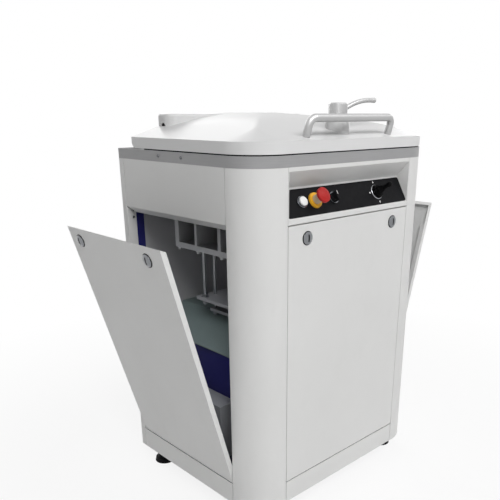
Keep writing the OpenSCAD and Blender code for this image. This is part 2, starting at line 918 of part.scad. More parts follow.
// Quarter-turn latch: a slotted dome outside, and inside a tongue that points to one side
module latch(side) {
    tongue_y = return_d + 1 - door_outer;
    tongue_w = 18;
    rim = 2;
    dome = 3.5;
    ball_r = (latch_dia * latch_dia / 4 + dome * dome) / (2 * dome);
    head_y = -door_outer - rest_gap;
    color(chrome) {
        translate([0, head_y, 0])
            rotate([-90, 0, 0])
                cylinder(d = latch_bore, h = tongue_y + 3 - head_y);
        translate([0, head_y, 0])
            rotate([90, 0, 0])
                difference() {
                    union() {
                        cylinder(d = latch_dia, h = rim);
                        translate([0, 0, rim])
                            intersection() {
                                translate([0, 0, dome - ball_r]) sphere(ball_r, $fn = 128);
                                cylinder(d = latch_dia, h = dome + 1);
                            }
                    }
                    translate([-1.5, -9, rim + dome - 2]) cube([3, 18, 5]);
                }
        span([side > 0 ? -tongue_w / 2 : -tongue_len, tongue_y, -tongue_w / 2],
             [side > 0 ? tongue_len : tongue_w / 2, tongue_y + 3, tongue_w / 2]);
    }
}

module left_front_latch() {
    left_door_frame(door_tilt) translate([side_latch_xs()[1], 0, latch_z]) latch(-1);
}

module left_rear_latch() {
    left_door_frame(door_tilt) translate([side_latch_xs()[0], 0, latch_z]) latch(1);
}

module right_front_latch() {
    right_door_frame(door_tilt) translate([-side_latch_xs()[1], 0, latch_z]) latch(1);
}

module right_rear_latch() {
    right_door_frame(door_tilt) translate([-side_latch_xs()[0], 0, latch_z]) latch(-1);
}

module front_left_latch() {
    front_door_frame() translate([front_latch_xs()[0], 0, latch_z]) latch(1);
}

module front_right_latch() {
    front_door_frame() translate([front_latch_xs()[1], 0, latch_z]) latch(-1);
}

// Controls

stem_bore = 8;
estop_neck = 14;
sleeve_dia = 22;
ball_z = 8;
ball_r = 12;
axle = 5;

// Switch body behind the panel, with a neck that fills the panel's bore
module contact_block(bore) {
    difference() {
        union() {
            translate([-15, -15, -sheet - 38]) cube([30, 30, 38]);
            translate([0, 0, -sheet]) cylinder(d = control_bore - 2 * hole_fit, h = sheet + plate_t);
        }
        translate([0, 0, -32]) cylinder(d = bore + 2 * run_fit, h = 40);
    }
}

module contact_blocks() {
    color("#303234") {
        on_panel(button_x, control_s) contact_block(stem_bore);
        on_panel(estop_x, control_s) contact_block(estop_neck);
        on_panel(selector_x, control_s) contact_block(stem_bore);
        on_panel(joystick_x, control_s)
            difference() {
                translate([-18, -18, -sheet - 34]) cube([36, 36, 34]);
                translate([0, 0, ball_z]) sphere(ball_r + 0.6);
            }
    }
}

// Rings on the black plate round the push button and the selector
module panel_bezels() {
    color(chrome) {
        on_panel(button_x, control_s)
            translate([0, 0, plate_t])
                difference() {
                    union() {
                        cylinder(d1 = 29.5, d2 = 28, h = 3);
                        translate([0, 0, 3]) cylinder(d = lens_dia + 3.4, h = 3);
                    }
                    translate([0, 0, -1]) cylinder(d = lens_dia + 0.8, h = 8);
                }
        on_panel(selector_x, control_s)
            translate([0, 0, plate_t])
                difference() {
                    cylinder(d1 = 30, d2 = 28.5, h = 5);
                    translate([0, 0, -1]) cylinder(d = 24.4, h = 8);
                }
    }
}

// Black collar that carries the joystick's gimbal on its axle
module joystick_collar() {
    top = ball_z + axle / 2 + 1.2;
    color(black)
        on_panel(joystick_x, control_s)
            difference() {
                union() {
                    translate([0, 0, plate_t]) cylinder(d = 36, h = 2.5);
                    translate([0, 0, plate_t + 2.5]) cylinder(d1 = 33, d2 = 31, h = top - plate_t - 2.5);
                }
                translate([0, 0, -1]) cylinder(r = ball_r + 0.5, h = 20);
                translate([0, 0, ball_z]) bar_x(-20, 20, axle + 2 * run_fit);
            }
}

module start_button() {
    dome = 2;
    r = (lens_dia * lens_dia / 4 + dome * dome) / (2 * dome);
    low = plate_t + button_travel + 0.5;
    color("#f2f2ee")
        on_panel(button_x, control_s) {
            translate([0, 0, -20]) cylinder(d = stem_bore, h = low + 20);
            translate([0, 0, low]) cylinder(d = lens_dia, h = 4);
            translate([0, 0, low + 4])
                intersection() {
                    translate([0, 0, dome - r]) sphere(r, $fn = 128);
                    cylinder(d = lens_dia, h = dome + 1);
                }
        }
}

module estop_collar() {
    color("#e0a528")
        on_panel(estop_x, control_s)
            translate([0, 0, plate_t])
                difference() {
                    cylinder(d1 = 38, d2 = 36, h = 5);
                    translate([0, 0, -1]) cylinder(d = sleeve_dia + 0.6, h = 8);
                }
}

// Stem with a ribbed sleeve that runs into the yellow collar
module estop_stem() {
    low = plate_t + estop_travel + 0.3;
    len = estop_reach - 9 - low;
    ribs = 4;
    color("#b8ae98")
        on_panel(estop_x, control_s) {
            translate([0, 0, -18]) cylinder(d = estop_neck, h = estop_reach - 1 + 18);
            translate([0, 0, low]) cylinder(d = sleeve_dia - 2.6, h = len);
            for (k = [0:ribs - 1])
                translate([0, 0, low + k * len / ribs]) cylinder(d = sleeve_dia, h = 0.6 * len / ribs);
        }
}

module estop_head() {
    dome = 4;
    r = (estop_dia * estop_dia / 4 + dome * dome) / (2 * dome);
    color("#c23b36")
        on_panel(estop_x, control_s)
            translate([0, 0, estop_reach])
                difference() {
                    union() {
                        translate([0, 0, -8.7]) cylinder(d1 = estop_dia - 10, d2 = estop_dia, h = 4.7);
                        translate([0, 0, -4]) cylinder(d = estop_dia, h = 6);
                        translate([0, 0, 2])
                            intersection() {
                                translate([0, 0, dome - r]) sphere(r, $fn = 128);
                                cylinder(d = estop_dia, h = dome + 1);
                            }
                    }
                    translate([0, 0, -10]) cylinder(d = estop_neck + 2 * run_fit, h = 9.5);
                }
}

module selector_knob() {
    color(black)
        on_panel(selector_x, control_s) {
            translate([0, 0, -20]) cylinder(d = stem_bore, h = plate_t + 20.5);
            translate([0, 0, plate_t + 0.5]) cylinder(d = 23.4, h = 6.5);
            translate([0, 0, plate_t + 7]) {
                translate([-4.5, -8, 0]) cube([9, 16, 12]);
                for (side = [-1, 1])
                    translate([0, side * 8, 0]) cylinder(d = 9, h = 12);
            }
        }
}

// Cross-shaped gimbal inside the joystick's ball
module joystick_gimbal() {
    color(steel)
        on_panel(joystick_x, control_s)
            translate([0, 0, ball_z]) {
                bar_x(-14.5, 14.5, axle);
                rotate([0, 0, 90]) bar_x(-11, 11, axle);
            }
}

module joystick_stick() {
    tip = joystick_len;
    color(black)
        on_panel(joystick_x, control_s)
            difference() {
                union() {
                    translate([0, 0, ball_z]) sphere(ball_r);
                    translate([0, 0, ball_z + 8.5]) cylinder(d1 = 22, d2 = 14, h = 11.5);
                    translate([0, 0, ball_z + 20]) cylinder(d = 11.5, h = tip - 16 - ball_z - 20);
                    translate([0, 0, tip - 16]) cylinder(d1 = 11.5, d2 = 13, h = 9.5);
                    translate([0, 0, tip - 6.5]) sphere(d = 13);
                }
                translate([0, 0, ball_z]) {
                    rotate([0, 0, 90]) bar_x(-14, 14, axle + 2 * run_fit);
                    translate([-14, -2.8, -6.2]) cube([28, 5.6, 12.4]);
                }
            }
}

// Lid

// Height of the lid's outer face at a distance inside its edge: a slope that fades into a flatter crown
function lid_top(i) =
    lid_z + skirt_h + tan(lid_slope) * min(i, lid_run) + fade(min(max(i - lid_run, 0), lid_round))
    + tan(crown_slope) * max(i - lid_run - lid_round, 0);
function fade(u) = u * tan(lid_slope) - u * u * (tan(lid_slope) - tan(crown_slope)) / (2 * lid_round);
lid_steps = concat([0], [for (k = [0:5]) lid_run + k * lid_round / 5], [half_w - 30]);

// Outline of the lid at a distance inside its edge: an arc of points at each front corner
function lid_arc(i, r, side, steps) = [
    for (k = [0:steps])
        let (a = side > 0 ? -90 + 90 * k / steps : 180 + 90 * k / steps)
            [side * (half_w - i - r) + r * cos(a), fy(i + r) + r * sin(a)]
];
function lid_outline(i, rear, steps) = concat(
    lid_arc(i, max(corner_r - i, 10), -1, steps), lid_arc(i, max(corner_r - i, 10), 1, steps),
    [[half_w - i, fy(rear)], [i - half_w, fy(rear)]]
);

// Convex body of the lid, drawn through its outlines from the skirt up to the crown
module lid_body(inset, low, steps) {
    drop = inset / cos(lid_slope);
    rear = lid_rear - inset;
    hull() {
        translate([0, 0, low])
            linear_extrude(eps, scale = 0.98) polygon(lid_outline(inset, rear, steps));
        for (i = lid_steps)
            translate([0, 0, lid_top(i + inset) - drop - eps])
                linear_extrude(eps, scale = 0.98) polygon(lid_outline(i + inset, rear, steps));
    }
}

// One rounded corner post of the hinge cover
module cover_post(r, edge, low, top) {
    translate([0, 0, low]) cylinder(r = r, h = top - edge - low, $fn = 32);
    translate([0, 0, top - edge])
        rotate_extrude($fn = 32)
            intersection() {
                translate([r - edge, 0]) circle(edge, $fn = 32);
                square([r, edge]);
            }
}

// Long cover over the hinges, with large front corners and a rounded top edge
module hinge_cover(inset) {
    front_r = 30;
    rear_r = 7;
    low = lid_hinge_z - 20 + inset;
    top = lid_hinge_z + cover_rise - inset;
    hull()
        for (side = [-1, 1]) {
            translate([side * (cover_half - front_r), fy(hinge_d - cover_front + front_r), 0])
                cover_post(front_r - inset, rear_r - inset, low, top);
            translate([side * (cover_half - rear_r), fy(hinge_d + cover_back - rear_r), 0])
                cover_post(rear_r - inset, rear_r - inset, low, top);
        }
}

module lid_shell() {
    rear_r = 15;
    boss_fit = 0.1;
    color("#eeeeec")
        difference() {
            union() {
                lid_body(0, lid_z, 15);
                hinge_cover(0);
            }
            lid_body(lid_wall, lid_z - 2, 12);
            hinge_cover(lid_wall);
            translate([0, fy(hinge_d), lid_hinge_z]) bar_x(-cover_half - 1, cover_half + 1, lid_pin_dia + 1);
            // rear lower edge rounded so that it clears the deck as the lid opens
            difference() {
                span([-half_w - 1, fy(lid_rear - rear_r), lid_z - 1],
                     [half_w + 1, fy(lid_rear + 20), lid_z + rear_r]);
                translate([0, fy(lid_rear - rear_r), lid_z + rear_r])
                    bar_x(-half_w - 2, half_w + 2, 2 * rear_r);
            }
            // slots in which the fixed hinge brackets swing
            both_sides()
                span([hinge_x - 8, fy(hinge_d - 17), lid_z - 2],
                     [hinge_x + 8, fy(hinge_d + cover_back + 9), lid_hinge_z + 17]);
            translate([0, fy(lock_d), lid_z])
                cylinder(d = 56 + 2 * boss_fit, h = 100);
        }
}

// Flat plate inside the lid, with the four hinge arms welded to it
module lid_frame() {
    z = lid_frame_z + lid_frame_t;
    plate_rear = hinge_d - 33;
    color(dark_paint) {
        difference() {
            union() {
                plan(lid_wall + 0.4, lid_frame_z, lid_frame_t, plate_rear);
                both_sides()
                    span([half_w - lid_wall - 0.4, fy(corner_r + 10), lid_frame_z],
                         [half_w - lid_wall, fy(plate_rear), z]);
            }
            translate([0, fy(lock_d), lid_frame_z - 1]) cylinder(d = 16, h = lid_frame_t + 2);
        }
        both_sides()
            for (x = [[-20, -7], [7, 18.5]])
                translate([hinge_x + x[0], fy(hinge_d), 0])
                    rotate([90, 0, 90])
                        linear_extrude(x[1] - x[0])
                            difference() {
                                union() {
                                    translate([0, lid_hinge_z]) circle(18);
                                    polygon([
                                        [-112, z], [-33, z], [13, lid_hinge_z - 12], [6, lid_hinge_z + 12],
                                        [-10, lid_hinge_z + 13], [-40, z + 26], [-112, z + 16]
                                    ]);
                                }
                                translate([0, lid_hinge_z]) circle(d = lid_pin_dia + 2 * run_fit);
                            }
    }
}

module lid_liner() {
    color("#f4f4f0")
        span([-tank_half_w - 24, fy(tank_front - 10), liner_z],
             [tank_half_w + 24, fy(tank_rear + 3), lid_frame_z]);
}

module lid_hinge_brackets() {
    color(steel)
        both_sides() {
            translate([hinge_x - 6, fy(hinge_d), 0])
                rotate([90, 0, 90])
                    linear_extrude(12)
                        union() {
                            translate([0, lid_hinge_z]) circle(14);
                            polygon([[-20, deck_z], [16, deck_z], [14, lid_hinge_z], [-14, lid_hinge_z]]);
                        }
            span([hinge_x - 17, fy(hinge_d - 20), deck_z], [hinge_x + 17, fy(hinge_d + 16), deck_z + 4]);
            translate([0, fy(hinge_d), lid_hinge_z])
                bar_x(hinge_x - 22, hinge_x + 18, lid_pin_dia);
        }
}

// Bent tube with both legs square on the sloping front of the lid
module lid_handle() {
    r = 18;
    x = handle_span / 2;
    color("#c4c6c8")
        translate([0, fy(handle_d), lid_top(handle_d)])
            rotate([lid_slope, 0, 0]) {
                both_sides() {
                    translate([x, 0, 0]) cylinder(d = handle_dia, h = handle_h - r);
                    translate([x - r, 0, handle_h - r])
                        rotate([90, 0, 0])
                            rotate_extrude(angle = 90)
                                translate([r, 0]) circle(d = handle_dia);
                }
                translate([0, 0, handle_h]) bar_x(r - x, x - r, handle_dia);
            }
}

boss_top = lid_top(lock_d) + 22;
bolt_top = boss_top + rest_gap;

module lock_boss() {
    color("#d8d8d6")
        translate([0, fy(lock_d), 0])
            difference() {
                translate([0, 0, lid_frame_z + lid_frame_t])
                    cylinder(d = 56, h = boss_top - lid_frame_z - lid_frame_t);
                translate([0, 0, lid_frame_z]) cylinder(d = 14 + 2 * run_fit, h = 200);
            }
}

// Hub and slim round arm that rises in an arc and runs out level
module lock_lever() {
    hub_h = 39;
    r = hub_dia / 2;
    tip_len = 17;
    root = r - 6;
    tip_z = bolt_top + 22 + lever_rise;
    run = lever_reach - tip_len - root;
    turn = 2 * atan(lever_rise / run);
    arc_r = run / sin(turn);
    color("#b0b2b4")
        translate([0, fy(lock_d), 0]) {
            translate([0, 0, bolt_top])
                rotate_extrude()
                    polygon([[0, 0], [r, 0], [r, hub_h - 3], [r - 3, hub_h], [0, hub_h]]);
            translate([lever_reach - tip_len, 0, tip_z - arc_r])
                rotate([90, 0, 0])
                    rotate([0, 0, 90])
                        rotate_extrude(angle = turn)
                            translate([arc_r, 0]) circle(d = lever_dia);
            translate([lever_reach - tip_len, 0, tip_z])
                rotate([0, 90, 0])
                    cylinder(d1 = lever_dia, d2 = lever_dia + 1.5, h = tip_len);
        }
}

module lock_bolt() {
    head_top = deck_z - deck_t - 2;
    color(steel)
        translate([0, fy(lock_d), 0]) {
            translate([0, 0, head_top]) cylinder(d = 14, h = bolt_top - head_top);
            span([-20, -6, head_top - 10], [20, 6, head_top]);
        }
}

// Press and knives

module cell_places() {
    for (i = [0:cells_x - 1])
        for (j = [0:cells_y - 1])
            translate([(i + 0.5) * cell_w - tank_half_w, fy(tank_front) + (j + 0.5) * cell_d, 0])
                children();
}

module press_pads() {
    w = cell_w - blade_t - 2 * blade_gap;
    d = cell_d - blade_t - 2 * blade_gap;
    color("#f0f0ea")
        cell_places() translate([-w / 2, -d / 2, pad_top - pad_t]) cube([w, d, pad_t]);
}

module press_carrier() {
    x = tank_half_w - 4;
    y = tank_half_d - 5;
    z = carrier_z + carrier_t;
    color(steel) {
        difference() {
            translate([0, fy(tank_mid), 0]) span([-x, -y, carrier_z], [x, y, z]);
            knife_rod_places() translate([0, 0, carrier_z - 1]) cylinder(d = rod_dia + 2, h = carrier_t + 2);
        }
        cell_places() translate([0, 0, z]) cylinder(d = 24, h = pad_top - pad_t - z);
    }
}

module press_rods() {
    z = press_head_z + head_t;
    color(chrome)
        press_rod_places() {
            translate([0, 0, z]) cylinder(d = rod_dia, h = carrier_z - z);
            translate([0, 0, z]) cylinder(d = rod_dia * 2.6, h = 2.5);
            translate([0, 0, z + 2.5]) cylinder(d = rod_dia * 2.1, h = 8, $fn = 6);
        }
}

// Hexagon nut with a stub of thread below it
module rod_nut() {
    translate([0, 0, -9]) cylinder(d = rod_dia * 1.9, h = 9, $fn = 6);
    translate([0, 0, -12]) cylinder(d = rod_dia * 0.8, h = 3);
}

module press_crosshead() {
    x = tank_half_w - 2;
    y = head_half_d;
    color(grey_paint) {
        difference() {
            translate([0, fy(tank_mid), 0]) span([-x, -y, press_head_z], [x, y, press_head_z + head_t]);
            knife_rod_places() translate([0, 0, press_head_z - 1]) cylinder(d = rod_dia + 2, h = head_t + 2);
        }
        press_rod_places() translate([0, 0, press_head_z]) rod_nut();
    }
}

module knife_grid() {
    x = tank_half_w - 1;
    y = tank_half_d - 1;
    color(chrome)
        translate([0, fy(tank_mid), 0]) {
            for (i = [1:cells_x - 1])
                translate([i * cell_w - tank_half_w, 0, 0])
                    span([-blade_t / 2, -y, blade_foot], [blade_t / 2, y, blade_top]);
            for (j = [-1:1])
                translate([0, j * cell_d, 0])
                    span([-x, -blade_t / 2, j == 0 ? blade_foot : knife_bottom], [x, blade_t / 2, blade_top]);
        }
}

module knife_rods() {
    z = knife_head_z + head_t;
    color(chrome)
        knife_rod_places() translate([0, 0, z]) cylinder(d = rod_dia, h = knife_bottom - z);
}

module knife_crosshead() {
    x = knife_rod_x + 12;
    y = head_half_d - 8.5;
    color(grey_paint) {
        translate([0, fy(tank_mid), 0]) span([-x, -y, knife_head_z], [x, y, knife_head_z + head_t]);
        knife_rod_places() translate([0, 0, knife_head_z]) rod_nut();
    }
}

module piston_rod() {
    low = floor_z + 60;
    color(chrome)
        translate([0, fy(tank_mid), 0]) {
            translate([0, 0, low]) cylinder(d = piston_dia, h = knife_head_z - low);
            translate([0, 0, low - 30]) cylinder(d = piston_dia + 28 - 2 * run_fit, h = 30);
        }
}

chassis_frame();
lower_housing();
scrap_chute();
rear_bulkhead();
left_column();
right_column();
left_upper_panel();
right_upper_panel();
rear_panel();
plinth_strips();
control_fascia();
control_plate();
contact_blocks();
steel_band();
deck_plate();
band_screws();
lid_seal();
dough_tank();
press_frame();
rod_bushes();
frame_bolts();
hydraulic_cylinder();
power_pack();
electrical_box();
door_hinges();
lid_hinge_brackets();
levelling_feet();
panel_bezels();
joystick_collar();
estop_collar();
start_button();
estop_stem();
estop_head();
selector_knob();
joystick_gimbal();
joystick_stick();
lid_shell();
lid_frame();
lid_liner();
lid_handle();
lock_boss();
lock_lever();
lock_bolt();
press_pads();
press_carrier();
press_rods();
press_crosshead();
knife_grid();
knife_rods();
knife_crosshead();
piston_rod();
left_door();
right_door();
front_panel();
left_front_latch();
left_rear_latch();
right_front_latch();
right_rear_latch();
front_left_latch();
front_right_latch();
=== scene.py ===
import json
import math

import bmesh
import bpy
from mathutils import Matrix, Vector


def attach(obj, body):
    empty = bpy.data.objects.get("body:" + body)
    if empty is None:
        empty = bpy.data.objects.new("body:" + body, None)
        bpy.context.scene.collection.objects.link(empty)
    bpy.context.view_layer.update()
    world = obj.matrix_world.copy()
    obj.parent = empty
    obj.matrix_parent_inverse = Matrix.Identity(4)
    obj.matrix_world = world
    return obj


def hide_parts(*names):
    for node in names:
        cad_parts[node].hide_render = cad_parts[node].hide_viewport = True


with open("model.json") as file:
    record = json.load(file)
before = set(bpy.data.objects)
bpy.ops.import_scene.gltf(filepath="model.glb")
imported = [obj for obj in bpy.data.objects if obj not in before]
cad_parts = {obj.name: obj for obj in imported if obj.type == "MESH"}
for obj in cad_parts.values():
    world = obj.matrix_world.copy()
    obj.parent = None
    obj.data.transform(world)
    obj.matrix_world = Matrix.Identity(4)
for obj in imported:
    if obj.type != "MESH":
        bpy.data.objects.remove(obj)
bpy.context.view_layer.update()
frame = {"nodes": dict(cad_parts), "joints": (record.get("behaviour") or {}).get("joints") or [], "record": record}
nodes = frame["nodes"]
joints = {j["name"]: j for j in frame["joints"]}
scene = bpy.context.scene

MM_PER_M = 1000
LATCHES = ("left_front", "left_rear", "right_front", "right_rear", "front_left", "front_right")


# Materials

# Tones of a look's marks, as shares of its own colour (handling marks, painted shade in hollows, dull patches,
# then the edge tones), and the depth of its bump in metres
MARK_TONE, HOLLOW_SHADE_TONE, DULL_TONE = 0.93, 0.25, 0.9
# The metal edge tone is rubbed wear and a painted highlight
METAL_EDGE_WEAR_AND_HIGHLIGHT, PLASTIC_EDGE = 1.25, 1.2
PAINT_DEPTH, FINE_DEPTH = 0.0003, 0.0002
WHITE = (1, 1, 1, 1)


def srgb(r, g, b):
    """Linear colour from 0 to 255 values."""
    out = []
    for c in (r, g, b):
        c = c / 255
        out.append(c / 12.92 if c <= 0.04045 else ((c + 0.055) / 1.055) ** 2.4)
    return (out[0], out[1], out[2], 1)


def shade(color, k):
    """The colour times k, with no channel over 1."""
    return (min(color[0] * k, 1), min(color[1] * k, 1), min(color[2] * k, 1), 1)


class Look:
    """A procedural material: a Principled shader with noise-driven colour, roughness and bump."""

    def __init__(self, name):
        self.mat = bpy.data.materials.new(name)
        self.mat.use_nodes = True
        self.tree = self.mat.node_tree
        self.shader = self.tree.nodes["Principled BSDF"]
        self.coord = self.node("ShaderNodeTexCoord")

    def node(self, kind, **inputs):
        n = self.tree.nodes.new(kind)
        for key, value in inputs.items():
            n.inputs[key].default_value = value
        return n

    def link(self, a, b):
        self.tree.links.new(a, b)

    def noise(self, scale, detail, stretch=None):
        """Noise in object coordinates, stretched along an axis for brushed or drawn metal."""
        n = self.node("ShaderNodeTexNoise", Scale=scale, Detail=detail)
        source = self.coord.outputs["Object"]
        if stretch:
            m = self.node("ShaderNodeMapping", Scale=stretch)
            self.link(source, m.inputs["Vector"])
            source = m.outputs["Vector"]
        self.link(source, n.inputs["Vector"])
        return n.outputs["Fac"]

    def ramp(self, fac, low, high, start=0.3, end=0.7):
        """Colour from low to high while fac goes from start to end."""
        r = self.node("ShaderNodeValToRGB")
        r.color_ramp.elements[0].position = start
        r.color_ramp.elements[0].color = low
        r.color_ramp.elements[1].position = end
        r.color_ramp.elements[1].color = high
        self.link(fac, r.inputs["Fac"])
        return r.outputs["Color"]

    def mix(self, fac, a, b):
        """Colour a where fac is 0 and b where it is 1. Each is a socket or a constant."""
        m = self.node("ShaderNodeMix")
        m.data_type = "RGBA"
        self.link(fac, m.inputs["Factor"])
        for value, socket in ((a, m.inputs["A"]), (b, m.inputs["B"])):
            if hasattr(value, "is_linked"):
                self.link(value, socket)
            else:
                socket.default_value = value
        return m.outputs["Result"]

    def span(self, fac, low, high, start=0.3, end=0.7):
        """Value from low to high while fac goes from start to end."""
        m = self.node("ShaderNodeMapRange")
        m.inputs["From Min"].default_value = start
        m.inputs["From Max"].default_value = end
        m.inputs["To Min"].default_value = low
        m.inputs["To Max"].default_value = high
        self.link(fac, m.inputs["Value"])
        return m.outputs["Result"]

    def edge(self, radius):
        """Rounded-edge normal, and a mask that is 1 on an edge."""
        bevel = self.node("ShaderNodeBevel", Radius=radius)
        bevel.samples = 4
        geo = self.node("ShaderNodeNewGeometry")
        dot = self.node("ShaderNodeVectorMath")
        dot.operation = "DOT_PRODUCT"
        self.link(bevel.outputs["Normal"], dot.inputs[0])
        self.link(geo.outputs["Normal"], dot.inputs[1])
        mask = self.span(dot.outputs["Value"], low=1.0, high=0.0, start=0.75, end=0.99)
        return bevel.outputs["Normal"], mask

    def bump(self, height, strength, depth, normal):
        b = self.node("ShaderNodeBump", Strength=strength, Distance=depth)
        self.link(height, b.inputs["Height"])
        if normal:
            self.link(normal, b.inputs["Normal"])
        self.link(b.outputs["Normal"], self.shader.inputs["Normal"])

    def set(self, **values):
        for key, value in values.items():
            self.shader.inputs[key.replace("_", " ")].default_value = value


def paint(name, color, rough, tint=0.02, grain=0.08, grain_size=420, radius=0.0012, spec=0.4,
          edge_wear_and_highlight=1.08, rub=0.3, drift=0.04, painted_shade=0.0, reach=0.1):
    """Powder coat or enamel: soft tone drift, handling marks, lighter edges as rubbed wear and a painted
    highlight, orange peel, and painted shade in hollows.
    """
    k = Look(name)
    normal, mask = k.edge(radius) if radius else (None, None)
    tone = k.ramp(k.noise(scale=3.5, detail=4), shade(color, 1 - tint), shade(color, 1 + tint))
    smears = k.noise(scale=26, detail=6, stretch=(1, 1, 0.35))
    tone = k.mix(k.span(smears, low=0.0, high=rub, start=0.58, end=0.82), tone, shade(color, MARK_TONE))
    # Lighter edges: rubbed wear and a painted highlight
    if mask:
        tone = k.mix(mask, tone, shade(color, edge_wear_and_highlight))
    # Painted shade: darker towards a deep tone where nearby surfaces close round a point, in hollows and recesses
    if painted_shade:
        hollow = k.node("ShaderNodeAmbientOcclusion", Distance=reach)
        hollow.samples = 8
        hollow_shade = k.span(hollow.outputs["AO"], low=painted_shade, high=0.0, start=0.1, end=0.75)
        tone = k.mix(hollow_shade, tone, shade(color, HOLLOW_SHADE_TONE))
    k.link(tone, k.shader.inputs["Base Color"])
    k.link(k.span(k.noise(scale=11, detail=3), rough - drift, rough + drift), k.shader.inputs["Roughness"])
    k.bump(k.noise(grain_size, detail=2), grain, PAINT_DEPTH, normal)
    k.set(Specular_IOR_Level=spec)
    return k.mat


def metal(name, color, rough, stretch=None, streak=0.08, scale=40.0, grain=0.06, radius=0.0008,
          metallic=1.0):
    """Bare metal: streaks along the stretch, or a fine mottle with none, and brighter edges as rubbed wear and a
    painted highlight.
    """
    k = Look(name)
    k.set(Metallic=metallic)
    normal, mask = k.edge(radius)
    fine = k.noise(scale, detail=5, stretch=stretch)
    tone = k.ramp(fine, shade(color, 1 - streak), shade(color, 1 + streak), start=0.25, end=0.75)
    tone = k.mix(k.span(k.noise(scale=6, detail=3), low=0.0, high=0.5), tone, shade(color, DULL_TONE))
    # Brighter edges: rubbed wear and a painted highlight
    k.link(k.mix(mask, tone, shade(color, METAL_EDGE_WEAR_AND_HIGHLIGHT)), k.shader.inputs["Base Color"])
    gloss = k.span(fine, low=max(rough - 0.05, 0.03), high=rough + 0.06, start=0.25, end=0.75)
    k.link(gloss, k.shader.inputs["Roughness"])
    k.bump(fine, grain, FINE_DEPTH, normal)
    return k.mat


def plastic(name, color, rough, grain=0.08, grain_size=700, tint=0.06, radius=0.0006, spec=0.4):
    """Moulded plastic or rubber with a fine texture and a little tone drift."""
    k = Look(name)
    normal, mask = k.edge(radius)
    tone = k.ramp(k.noise(scale=14, detail=4), shade(color, 1 - tint), shade(color, 1 + tint))
    k.link(k.mix(mask, tone, shade(color, PLASTIC_EDGE)), k.shader.inputs["Base Color"])
    gloss = k.span(k.noise(scale=90, detail=4), low=rough - 0.05, high=rough + 0.07)
    k.link(gloss, k.shader.inputs["Roughness"])
    k.bump(k.noise(grain_size, detail=2), grain, FINE_DEPTH, normal)
    k.set(Specular_IOR_Level=spec)
    return k.mat


# Stretches of the noise along the height, for brushed sheet and drawn bushes
BRUSHED = (1.0, 1.0, 60.0)
DRAWN = (1.0, 1.0, 12.0)

# The chassis, machine grey and chute paints, and the press frame's paint below, darken in their hollows as painted
# shade
LOOK = {
    "cabinet_paint": paint("cabinet_paint", srgb(222, 222, 221), 0.45),
    "lid_paint": paint("lid_paint", srgb(222, 222, 222), 0.3, tint=0.006, grain=0.01, grain_size=160,
                       spec=0.15, radius=0, rub=0.04, drift=0.01),
    "chassis_paint": paint("chassis_paint", srgb(37, 37, 104), 0.5, tint=0.1, spec=0.25, painted_shade=0.8,
                           reach=0.12),
    "dark_paint": paint("dark_paint", srgb(124, 124, 127), 0.55, tint=0.08, spec=0.25),
    "machine_grey": paint("machine_grey", srgb(158, 160, 164), 0.5, tint=0.05, painted_shade=0.6),
    "chute_paint": paint("chute_paint", srgb(136, 152, 152), 0.55, tint=0.05, spec=0.3, painted_shade=0.6,
                         reach=0.3),
    "stainless": metal("stainless", srgb(116, 117, 119), 0.36, BRUSHED, scale=18),
    "chrome": metal("chrome", srgb(176, 178, 182), 0.14, streak=0.04),
    "aluminium": metal("aluminium", srgb(184, 184, 184), 0.44, streak=0.04, scale=300),
    "bronze": metal("bronze", srgb(178, 138, 74), 0.3, DRAWN),
    "seal_rubber": plastic("seal_rubber", srgb(26, 26, 28), 0.7, spec=0.15),
    "black_plastic": plastic("black_plastic", srgb(20, 20, 22), 0.55, spec=0.06),
    "red_plastic": plastic("red_plastic", srgb(174, 42, 40), 0.42, grain=0.03, spec=0.14),
    "yellow_plastic": plastic("yellow_plastic", srgb(232, 172, 44), 0.4, grain=0.03, spec=0.3),
    "beige_plastic": plastic("beige_plastic", srgb(198, 184, 162), 0.45, grain=0.04, spec=0.3),
    "white_plastic": plastic("white_plastic", srgb(236, 236, 234), 0.4, grain=0.04, tint=0.015, spec=0.3),
}

# Nodes whose look differs from the rest of their slot. The band and deck are satin steel, less mirror-like than
# other stainless, and the bulkhead and press frame a lighter grey than other dark paint, as painted light for the
# light that falls short deep in the cabinet
SATIN = metal("satin_steel", srgb(157, 157, 158), 0.42, BRUSHED, scale=18, metallic=0.05)
OWN_LOOK = {
    "steel_band": SATIN,
    "deck_plate": SATIN,
    "rear_bulkhead": paint("bulkhead_paint_lit", srgb(176, 176, 179), 0.55, tint=0.06, spec=0.25),
    "press_frame": paint("frame_grey_lit", srgb(190, 191, 194), 0.5, tint=0.05, painted_shade=0.9, reach=0.12),
    "frame_bolts": metal("bolt_zinc", srgb(226, 227, 228), 0.3, streak=0.05),
    "panel_bezels": metal("bezel_chrome", srgb(132, 134, 138), 0.16, streak=0.04),
    "joystick_stick": plastic("stick_black", srgb(10, 10, 11), 0.5, spec=0.04),
    "joystick_collar": plastic("collar_black", srgb(12, 12, 13), 0.5, spec=0.04),
    "band_screws": metal("screw_steel", srgb(104, 105, 108), 0.3, streak=0.06),
}
# Latch chrome is darker than the other chrome: a painted dark reflection
LATCH = metal("latch_chrome_dark_reflection", srgb(130, 132, 135), 0.15, streak=0.05)
for latch in LATCHES:
    OWN_LOOK[latch + "_latch"] = LATCH

for part in frame["record"]["subparts"]:
    o = nodes[part["node"]]
    o.data.materials.clear()
    o.data.materials.append(OWN_LOOK.get(part["node"], LOOK[part["material_slot"]]))


# Small details that ride on the bodies

def piece(name, verts, faces, body, slot):
    mesh = bpy.data.meshes.new(name)
    mesh.from_pydata(verts, [], faces)
    mesh.materials.append(LOOK[slot])
    bm = bmesh.new()
    bm.from_mesh(mesh)
    bmesh.ops.recalc_face_normals(bm, faces=bm.faces)
    bm.to_mesh(mesh)
    bm.free()
    o = bpy.data.objects.new(name, mesh)
    scene.collection.objects.link(o)
    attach(o, body)
    return o


